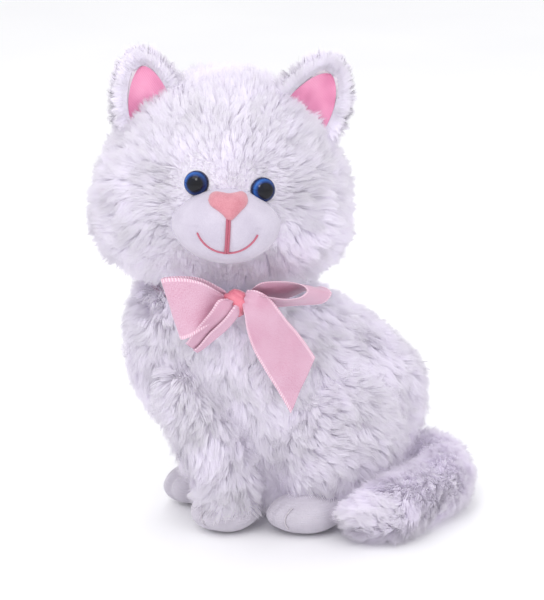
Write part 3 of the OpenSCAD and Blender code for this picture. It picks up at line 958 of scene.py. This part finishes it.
build_paws()
build_seat()

# ---------------------------------------------------------------- tail

TAIL_R, TAIL_ROOT_R = 15, 10
TAIL_TUCK = 9
TAIL_SKIN, TAIL_WAD = 0.74, 0.66
TAIL_LOW = TAIL_R + 0.2
TAIL_ROOT = joint_mm("tail_swing")[0]


def tail_path(count):
    """The tail's middle line: an arc of an ellipse round the left haunch, on the floor."""
    a = np.radians(np.linspace(98, -19, count))
    tucked = TAIL_TUCK * np.exp(-((a - math.radians(28)) / 0.45) ** 2)
    path = np.stack([10 + 55 * np.cos(a) - 0.4 * tucked, 21 + 54 * np.sin(a) - tucked,
                     0 * a + TAIL_LOW - 0.6], -1)
    root = [[TAIL_ROOT[0] - 5, TAIL_ROOT[1] - 22, TAIL_LOW], [TAIL_ROOT[0] - 4, TAIL_ROOT[1] - 12, TAIL_LOW]]
    return np.concatenate([root, path])


def tail_grid(columns, rows, share):
    """Tube round the tail's middle line, with a round tip."""
    s = np.linspace(0, 1, rows)
    path = spline(tail_path(15), s)
    radius = np.where(s < 0.2, TAIL_ROOT_R + (TAIL_R - TAIL_ROOT_R) * s / 0.2, TAIL_R)
    radius = radius * np.sqrt(np.clip(1 - (np.clip(s - 0.75, 0, 1) / 0.251) ** 2, 0.0, 1))
    return tube_grid(path, np.maximum(radius * share, 0.4), columns), path


def build_tail():
    """Tail skin round its filling; the pile lies along the tail to its tip."""
    grid, path = tail_grid(48, 90, TAIL_SKIN)
    skin("tail_skin", grid, "tail", ("tail_cover",))
    wad = grid_object("tail_wad", outward(tail_grid(24, 60, TAIL_WAD)[0]), poles=(True, True))
    place_piece(wad, "tail", FIBRE, ("tail_stuffing",))
    way = unit(np.gradient(path, axis=0))

    def flow(p, n):
        near = nearest(p, path)
        return way[near] + 0.25 * n * np.array([1, 1, 0])

    place, normal = scatter(grid, strands(TAIL_STRANDS), RNG)
    grow("tail_fur", "tail", place, normal, flow, length=BODY_PILE, seed=21, lift=30, droop=76, tuft=34,
         clump=0.42, swirl=0.4, parts=2, bias=(0, 0, 0.6))


build_tail()

# ---------------------------------------------------------------- head


def full(x):
    """A sine or cosine pushed outwards, which squares a ball off a little."""
    return np.sign(x) * np.abs(x) ** FULLNESS


def head_grid(columns, rows, depth):
    """The head in its own axes: rows run from ear to ear, columns from the face over the top.
    Its ball is squared off a little, the cheeks hang below its middle, and it widens downwards."""
    a = np.linspace(-np.pi / 2, np.pi / 2, rows)[:, None]
    u = angles(columns)[None]
    half = HEAD_HALF - depth
    wide = full(np.cos(a))
    z = half[2] * wide * full(np.sin(u)) - CHEEK_DROP * np.sin(a) ** 2
    return np.stack([half[0] * np.sin(a) * (1 - PEAR * z / half[2]), -half[1] * wide * np.cos(u), z], -1)


def eye_frame(side):
    """Place and axes of an eye in the head: the third axis points out of it."""
    x, z = EYE_PLACES[side]
    middle = np.array([x, -HEAD_HALF[1] * 0.955, z])
    axes = turn(2, side * EYE_SPLAY) @ turn(0, math.pi / 2)
    return middle - axes[:, 2] * EYE_SINK, axes


def head_flow(p, n):
    """The pile parts at the bridge of the nose: up over the forehead, out over the cheeks."""
    away = world_to_head(p) - np.array([0, -64, -6])
    away = unit(away) + np.array([0, 0.35, -0.22])
    return away @ HEAD_TURN.T


def muzzle_size(z):
    """Half width and half height of the muzzle at z: flatter and narrower towards its top."""
    high = np.clip(z / MUZZLE_TOP, 0, 1)
    tall = np.where(np.asarray(z) > 0, MUZZLE_TOP, MUZZLE_HALF[2])
    return MUZZLE_HALF[0] * (1 - MUZZLE_TAPER * high), tall


# The short-clipped forehead between the eyes and the crown.
BROW = np.array([0, -48, 22])
BROW_SIZE = 32


def build_head():
    """Head skin and its coat, clipped shorter round the eyes, muzzle and brow."""
    grid = head_grid(96, 80, PILE_DEPTH)
    world = head_to_world(grid)
    skin("head_skin", world, "head", ("head_side_left", "head_side_right", "head_gusset", "chin_panel"))

    def face_gap(p):
        """Distance outside the eyes and outside the muzzle's outline, in millimetres."""
        local = world_to_head(p)
        gap = np.full(len(p), 99.0)
        front = local[:, 1] < -20
        for side in SIDES.values():
            eye, _ = eye_frame(side)
            rim = np.hypot(local[:, 0] - eye[0], local[:, 2] - eye[2]) - EYE_R
            gap = np.minimum(gap, np.where(front, rim, 99))
        flat = local - MUZZLE_MID
        wide, tall = muzzle_size(flat[:, 2])
        ring = (np.hypot(flat[:, 0] / wide, flat[:, 2] / tall) - 1) * MUZZLE_HALF[2]
        return gap, np.where(front, ring, 99)

    def shows(p):
        eyes, muzzle = face_gap(p)
        return (eyes > 0.6) & (muzzle > -2.2)

    place, normal = scatter(world, strands(HEAD_STRANDS), RNG, keep=shows)
    eyes, muzzle = face_gap(place)
    brow = np.clip(1.15 - np.linalg.norm(world_to_head(place) - BROW, axis=1) / BROW_SIZE, 0, 0.35)
    trim = np.minimum(np.clip(0.40 + muzzle / 16, 0.36, 1), np.clip(0.2 + eyes / 13, 0.2, 1)) * (1 - brow)
    grow("head_fur", "head", place, normal, head_flow, length=HEAD_PILE * trim, seed=31,
         lift=28, droop=72, swirl=0.5, parts=3)


build_head()


def muzzle_point(x, z, lift=0.0):
    """A point on the muzzle's front above x, z of its middle, raised by lift."""
    wide, tall = muzzle_size(z)
    q = 1 - (x / wide) ** 2 - (z / tall) ** 2
    depth = np.sqrt(np.maximum(q, 0.02))
    p = np.stack([x + 0 * z, -MUZZLE_HALF[1] * depth, z + 0 * x], -1)
    normal = unit(p / MUZZLE_HALF ** 2)
    return MUZZLE_MID + p + normal * np.asarray(lift)[..., None], normal


SMILE_R, SMILE_Z = 15.5, 2.0


def build_muzzle():
    """Muzzle: half an ellipsoid with cheeks, and a shallow pull along the mouth."""
    rows, columns = 90, 128
    a = np.linspace(0, np.pi * 0.6, rows)[:, None]
    u = angles(columns)[None]
    x, z, y = np.sin(a) * np.cos(u), np.sin(a) * np.sin(u), -np.cos(a) + 0 * u
    grid = np.stack([x, y, z], -1) * MUZZLE_HALF
    grid[..., 2] *= np.where(z > 0, MUZZLE_TOP / MUZZLE_HALF[2], 1)
    grid[..., 0] *= muzzle_size(grid[..., 2])[0] / MUZZLE_HALF[0]
    px, pz = grid[..., 0], grid[..., 2]
    front = np.clip(-y, 0, 1)
    seam = np.exp(-(px / 2.2) ** 2) * np.clip((6 - pz) / 6, 0, 1) * np.clip((pz + 16) / 4, 0, 1)
    arc = np.abs(np.hypot(px, pz - SMILE_Z) - SMILE_R)
    smile = np.exp(-(arc / 2.0) ** 2) * (pz < SMILE_Z - 3)
    grid = grid * (1 - (0.045 * seam + 0.03 * smile) * front)[..., None]
    obj = grid_object("muzzle_velour", head_to_world(MUZZLE_MID + grid)[::-1], poles=(False, True))
    place_piece(obj, "head", MUZZLE_PILE, ("muzzle_cover",))
    wad = outward(head_to_world(MUZZLE_MID + grid * MUZZLE_WAD)[::3, ::4])
    wad[0], wad[-1] = wad[0].mean(0), wad[-1].mean(0)
    obj = grid_object("muzzle_wad", wad, poles=(True, True))
    place_piece(obj, "head", FIBRE, ("muzzle_stuffing",))


NOSE_OUTLINE = np.array([
    [-9.6, 1.8], [-8.6, 4.2], [-6.2, 5.4], [-3, 5.3], [0, 5.0], [3.3, 5.4], [6.5, 5.8], [8.7, 4.6],
    [9.2, 2.0], [8.0, -0.2], [5.9, -2.2], [3.6, -4.6], [1.4, -6.4], [-0.9, -5.9], [-3.0, -3.9],
    [-5.8, -2.0], [-8.4, -0.4], [-9.6, 1.8]])
NOSE_Z = 9.2
NOSE_RISE = 3.4


def build_nose():
    """Nose: the rounded triangle's outline shrunk ring by ring and domed over the muzzle."""
    columns, rows = 72, 18
    edge = spline(NOSE_OUTLINE, np.arange(columns) / columns)
    a = np.linspace(0, np.pi / 2, rows)[:, None]
    ring = np.cos(a)[..., None] * edge[None]
    lift = NOSE_RISE * np.sin(a) ** 0.8 + 0 * ring[..., 0] - 0.6
    p, _ = muzzle_point(ring[..., 0], ring[..., 1] + NOSE_Z, lift)
    obj = grid_object("nose_knit", head_to_world(p)[:, ::-1], poles=(False, True))
    place_piece(obj, "head", FELT, ("nose",))


def build_mouth():
    """Smile, an arc on the muzzle, and two threads from the nose down to it."""
    a = np.radians(np.linspace(-157, -23, 60))
    smile, _ = muzzle_point(SMILE_R * np.cos(a), SMILE_Z + SMILE_R * np.sin(a), -0.3)
    z = np.linspace(NOSE_Z - 5, SMILE_Z - SMILE_R, 30)
    philtrum = [muzzle_point(np.full(30, dx), z, -0.35)[0] for dx in (-0.55, 0.55)]
    t = np.linspace(0, 1, 60)
    stitch = 1 + 0.18 * np.abs(np.sin(t * np.pi * 14))
    grids = [tube_grid(smile, 0.42 * stitch, 10, up=(0, 1, 0))]
    grids += [tube_grid(p, 0.62, 10, up=(1, 0, 0)) for p in philtrum]
    obj = join_tubes("mouth_thread", [head_to_world(g) for g in grids])
    place_piece(obj, "head", THREAD, ("mouth_stitch",))


def build_eyes():
    """Eyes: a dome on a short wall; the map's second value is the distance from its middle."""
    for label, side in SIDES.items():
        middle, axes = eye_frame(side)
        t = np.linspace(0, 1, 28)
        radius = np.concatenate([EYE_R * np.sin(t * np.pi / 2), [EYE_R, EYE_R * 0.9]])
        height = np.concatenate([1.8 + 4.5 * np.cos(t * np.pi / 2), [0.2, 0.05]])
        u = angles(64)[None]
        p = np.stack([radius[:, None] * np.cos(u), radius[:, None] * np.sin(u), height[:, None] + 0 * u], -1)
        p = head_to_world(middle + p @ axes.T)
        obj = grid_object(f"eye_gloss_{label}", p[:, ::-1], poles=(True, False))
        points = np.empty(len(obj.data.vertices) * 3, np.float32)
        obj.data.vertices.foreach_get("co", points)
        local = (world_to_head(points.reshape(-1, 3) / MM) - middle) @ axes
        set_uv(obj, np.stack([np.arctan2(local[:, 1], local[:, 0]) / (2 * np.pi) + 0.5,
                              np.hypot(local[:, 0], local[:, 1]) / EYE_R], -1))
        place_piece(obj, "head", EYE, (f"eye_dome_{label}",))


build_muzzle()
build_nose()
build_mouth()
build_eyes()

# ---------------------------------------------------------------- ears

EAR_SIZE = {1: (28, 26.5), -1: (26, 22.5)}
EAR_TILT, EAR_SPLAY = math.radians(30), math.radians(8)
EAR_LEAN = {1: 0, -1: 6}
EAR_ROOT = np.array([37.5, -12, 34.4])
EAR_FOLD = 1.6


def ear_to_world(p, side):
    """Points of an ear's own axes in the frame."""
    axes = turn(1, side * EAR_TILT) @ turn(2, side * EAR_SPLAY)
    return head_to_world(EAR_ROOT * np.array([side, 1, 1]) + p @ axes.T)


def ear_sheet(side, scale, cup, front, columns, rows, sink=4.0):
    """A leaf shape: half width follows the height as a rounded triangle, cupped by cup."""
    t = np.linspace(0, 1, rows)[:, None]
    s = np.linspace(-1, 1, columns)[None]
    ear_w, ear_h = EAR_SIZE[side]
    half = 0.5 * ear_w * scale * (1 - t ** 2.4) ** 0.62 * (1 - 0.12 * t)
    x = half * s + EAR_LEAN[side] * t ** 1.3
    z = -sink + (ear_h * scale + sink) * t + 0 * s
    y = front + cup * (1 - s ** 2) * (1 - 0.6 * t) - 1.6 * np.sin(t * np.pi) + 0 * s
    return np.stack([x + 0 * t, y, z], -1)


def build_ears():
    """Each ear: a closed cupped leaf, a smaller satin leaf before it, and fur."""
    for label, side in SIDES.items():
        body = f"ear_{label}"
        back = ear_sheet(side, 1.0, 3.6, 0.8, 41, 40)
        front = ear_sheet(side, 1.0, 2.2, -1.6, 41, 40)
        wrap = np.concatenate([back, front[:, ::-1]], 1)
        ends = np.repeat(wrap[[0, -1]].mean(1)[:, None], wrap.shape[1], 1)
        wrap = np.concatenate([ends[:1], wrap, ends[1:]])
        obj = grid_object(f"ear_skin_{label}", outward(ear_to_world(wrap, side)), poles=(True, True))
        place_piece(obj, body, BACKING, (f"ear_back_{label}",))
        lining = ear_sheet(side, 0.88, 2.6, -2.5, 49, 44)
        across, high = lining[..., 0] + side * 4.5, lining[..., 2]
        fold = np.exp(-(across / 2.4) ** 2) * np.clip(1 - high / 16, 0, 1)
        lining[..., 1] -= EAR_FOLD * fold
        obj = grid_object(f"ear_satin_{label}", ear_to_world(lining, side), round_u=False)
        place_piece(obj, body, SATIN, (f"ear_lining_{label}",))
        add_ear_fur(label, side, body)


def add_ear_fur(label, side, body):
    """Fur on the back of the ear, a fringe of locks round its edge, and short fur over the
    front rim that lies outwards and hides the seam of the lining."""
    rng = np.random.default_rng(50 + side)
    count = strands(EAR_STRANDS)
    ear_h = EAR_SIZE[side][1]
    back, _ = scatter(ear_sheet(side, 1.0, 3.6, 0.8, 41, 40), count, rng, round_u=False)
    back_normal = unit(np.stack([back[:, 0] * 0.05, 0 * back[:, 0] + 1, 0.25 + 0 * back[:, 0]], -1))
    row = (rng.uniform(0.05, 1, count) ** 0.8 * 199).astype(int)
    pick = rng.choice([0, 2], count)
    edge = ear_sheet(side, 1.0, 0, 0, 3, 200)[row, pick] + rng.normal(0, 0.8, (count, 3))
    middle = np.array([EAR_LEAN[side] * 0.6, 0, ear_h * 0.35])
    out = unit((edge - middle) * np.array([1, 0, 1]))
    edge_normal = unit(out + rng.normal(0, 0.3, edge.shape) + np.array([0, -0.25, 0]))
    rim = ear_sheet(side, 1.0, 2.2, -2.4, 61, 200)
    column = np.where(rng.uniform(0, 1, count) < 0.5, rng.integers(0, 5, count),
                      rng.integers(56, 61, count))
    tip = rng.uniform(0, 1, count) < 0.16
    column = np.where(tip, rng.integers(0, 61, count), column)
    rim_row = np.where(tip, rng.integers(180, 199, count), row)
    rim = rim[rim_row, column]
    rim_out = unit((rim - middle) * np.array([1, 0, 1]))
    rim_normal = unit(np.array([0, -0.8, 0]) + rim_out * 0.7 + rng.normal(0, 0.15, rim.shape))
    place = np.concatenate([back, edge, rim])
    normal = np.concatenate([back_normal, edge_normal, rim_normal])
    lie = np.concatenate([0 * back + np.array([0, 0.4, 1.0]), out + np.array([0, 0.2, 0.7]),
                          rim_out + np.array([0, 0, 0.35])])
    length = np.repeat([EAR_PILE, EAR_PILE, EAR_RIM_PILE], count)
    root = ear_to_world(np.zeros((1, 3)), side)
    place = ear_to_world(place, side)
    normal = unit(ear_to_world(normal, side) - root)
    lie = unit(ear_to_world(lie, side) - root)
    grow(f"ear_fur_{label}", body, place, normal, lambda p, n: lie, length=length,
         lift=22, droop=60, tuft=22, clump=0.6, swirl=0.3, seed=60 + side,
         bias=np.repeat([0, 1, 1], count)[:, None] * (HEAD_TURN @ np.array([0, -2.2, 0.8])))


build_ears()

# ---------------------------------------------------------------- ribbon

BOW_TURN = math.radians(78)
BOW_OUT = 48
KNOT_PULL = 0.3
BOW_MID = np.array([0, NECK[1], 127]) + turn(2, BOW_TURN) @ np.array([0, -BOW_OUT, 0])
RIBBON_W, RIBBON_THICK = 24.0, 0.22
FOLD_GAP = 1.1


def bow_to_world(p):
    """Bow's own axes: x to the right as seen, -y towards the viewer, z up."""
    return BOW_MID + p @ turn(2, BOW_TURN).T


def band(name, first, second, seed, replaces, body="torso", held="gathered", crimp=0.35,
         ripple=0.5, turned=0.0):
    """A ribbon between two edges, each a smooth curve, with soft puckers running from the knot.
    turned is the share of its width that is folded back underneath along the second edge."""
    t = np.linspace(0, 1, 120)
    a, b = spline(first, t)[:, None], spline(second, t)[:, None]
    w = np.linspace(0, 1, 40)[None, :, None]
    across = w * (1 + turned)
    under = np.clip(across - 1, 0, 1)
    shown = np.where(across > 1, 2 - across, across)
    p = a * (1 - shown) + b * shown
    plane = a * (1 - w) + b * w
    normal = unit(np.cross(np.gradient(plane, axis=0), np.gradient(plane, axis=1)))
    p = p + normal * FOLD_GAP * np.sqrt(np.minimum(under * 12, 1))
    steps = np.linalg.norm(np.diff((a + b)[:, 0] / 2, axis=0), axis=1)
    length = np.concatenate([[0], np.cumsum(steps)])
    pleat = np.sin(w[..., 0] * 19 + 2.2 * np.sin(t * 4 + seed)[:, None])
    near_knot = np.exp(-np.minimum(t, 1.0 if held == "hung" else 1 - t)[:, None] * 9)
    wave = noise(p, 9, seed)[..., 0] * ripple
    p = p + normal * (crimp * pleat * near_knot + wave)[..., None]
    obj = grid_object(name, bow_to_world(p), round_u=False)
    uv = np.stack(np.broadcast_arrays(length[:, None], w[..., 0]), -1)
    set_uv(obj, uv.reshape(-1, 2))
    thick = obj.modifiers.new("thickness", "SOLIDIFY")
    thick.thickness = RIBBON_THICK * MM
    thick.offset = 0
    place_piece(obj, body, RIBBON, replaces)


# Edge curves of each length of ribbon, knot end first, in the bow's own axes.
LEFT_TOP = [
    [-4.4, 0, 3.2], [-10.2, -4, 8], [-17.6, -6, 12.8], [-25.9, -6.5, 15.2], [-33.5, -6, 15.4],
    [-36.1, -3, 14.1], [-33.1, 1, 14.1], [-24.5, 3, 13.6], [-16.1, 3, 12.1], [-9.2, 2, 8.6], [-4.2, 1, 5.3]]
LEFT_LOW = [
    [-1.2, 0, -1.3], [-7.9, -5, -5.1], [-14.2, -8, -8.2], [-21.5, -9, -12.5], [-25.9, -8, -14.5],
    [-27.3, -5, -14.9], [-24.8, -1, -16], [-19.8, 2, -14.9], [-12.5, 3, -10.9], [-6.7, 2, -6.2], [-1, 1, -0.9]]
RIGHT_NEAR = [
    [5.4, -3, 4.8], [8.1, -6, 8.8], [12.8, -9, 11.9], [22.5, -12, 12.4], [29.4, -13, 10.6], [32.2, -13, 7.7],
    [28.7, -13.5, 5], [21.7, -13, 4.3], [13.7, -11, 5.1], [7.9, -7, 5.8], [5.3, -4, 3.5]]
RIGHT_FAR = [
    [6, 0, 2.3], [10.9, 2, 0.8], [17.2, 4, -1.1], [27.9, 5, -0.3], [41.6, 4, 4.6], [47.7, 1, 2.1],
    [43.6, 1, -3], [32.6, 2, -4], [22.7, 2, -4.3], [12.7, 1, -3.7], [6, 0, -0.4]]
LONG_LEFT = [
    [2.6, -6, 0.2], [3.2, -8, -3.9], [4.7, -7, -12.9], [8.3, -4.5, -23.3], [14.7, -2, -35.3],
    [21.7, 0, -47.3],
    [27.7, 1.5, -58.5]]
LONG_RIGHT = [
    [5.1, -5, 7.4], [9.6, -8.5, 7.5], [16, -9, 3], [23.7, -6, -7.6], [30.3, -3, -15.9], [35.5, -0.5, -23.4],
    [39.9, 1, -30.3]]
SHORT_UPPER = [
    [-4.3, -7, 4.2], [-9.4, -11, 4.8], [-13.5, -12, -0.2], [-19, -10, -7.3], [-23.5, -7, -15.3],
    [-24.9, -6, -17.5]]
SHORT_LOWER = [
    [1.3, -4, -2.3], [1, -5, -4.8], [-2.6, -4, -9.4], [-8, -1, -16], [-14.1, 1.5, -21.8], [-17.9, 2.5, -24.2]]


def build_knot():
    """The knot: a fat wrap of ribbon with folds that run round it."""
    a = np.linspace(-np.pi / 2, np.pi / 2, 60)[:, None]
    u = angles(80)[None]
    fold = 1 + 0.05 * np.sin(7 * a + 1.3 * np.sin(u)) + 0.03 * np.sin(15 * a + np.cos(u) * 2)
    p = np.stack([6.4 * np.cos(a) ** 0.8 * np.cos(u) * fold, 5.2 * np.cos(a) ** 0.8 * np.sin(u) * fold - 1.5,
                  6.8 * np.sin(a) + 0 * u], -1)
    p = p @ turn(1, math.radians(28)).T
    obj = grid_object("bow_knot_wrap", bow_to_world(p), poles=(True, True), uv_size=(30, 1))
    place_piece(obj, "torso", RIBBON_DEEP, ("bow_knot",))


def build_neck_band():
    """The ribbon round the neck, bunched into pleats that run round it."""
    low, high = box_mm("neck_band")
    radius, z = (high[0] - low[0]) / 2 - 2.0, (low[2] + high[2]) / 2 - 1.2
    u = angles(160)
    w = np.linspace(0, 1, 49)
    out = 1.5 * np.sin(w * np.pi * 2 * 3.5)
    rise = (w - 0.5) * 3.4
    knot = np.exp(-(((u - BOW_TURN + math.pi / 2 + np.pi) % (2 * np.pi) - np.pi) / KNOT_PULL) ** 2)
    r = radius + (BOW_OUT - radius - 2) * knot + out[:, None] * (1 - 0.6 * knot) + 0.3 * np.sin(u * 9)[None]
    height = z + (BOW_MID[2] - z) * knot
    p = np.stack([r * np.cos(u), NECK[1] + r * np.sin(u),
                  height + rise[:, None] + 0.3 * np.sin(u * 5)[None]], -1)
    obj = grid_object("neck_ribbon", p, round_u=True, uv_size=(2 * np.pi * radius, 1))
    place_piece(obj, "torso", RIBBON, ("neck_band",))
    2 * np.pi * radius * MM


def build_ribbon():
    """Neck band, knot, two loops and two loose ends."""
    build_neck_band()
    build_knot()
    band("bow_loop_left_ribbon", LEFT_LOW, LEFT_TOP, replaces=("bow_loop_left",),
         seed=0.7)
    band("bow_loop_right_ribbon", RIGHT_FAR, RIGHT_NEAR, replaces=("bow_loop_right",),
         seed=2.1)
    band("ribbon_end_long_cloth", LONG_LEFT, LONG_RIGHT, body="ribbon_end_long", held="hung",
         replaces=("bow_tail_long",), seed=3.3, ripple=0.8)
    band("ribbon_end_short_cloth", SHORT_UPPER, SHORT_LOWER, body="ribbon_end_short", held="hung",
         replaces=("bow_tail_short",), seed=4.4, ripple=0.6,
         crimp=0.8, turned=0.45)


build_ribbon()

# ---------------------------------------------------------------- pieces kept from the frame

KEPT = {
    "torso_stuffing": FIBRE, "head_stuffing": FIBRE, "neck_stuffing": FIBRE, "pellet_bag": PELLET_CLOTH,
    "eye_washer_left": WASHER, "eye_washer_right": WASHER, "eye_iris_left": IRIS, "eye_iris_right": IRIS}


def paint_kept():
    """Materials for the inner pieces that keep their CAD mesh."""
    for node, material in KEPT.items():
        obj = bpy.data.objects[node]
        obj.data.materials.clear()
        obj.data.materials.append(material)


paint_kept()
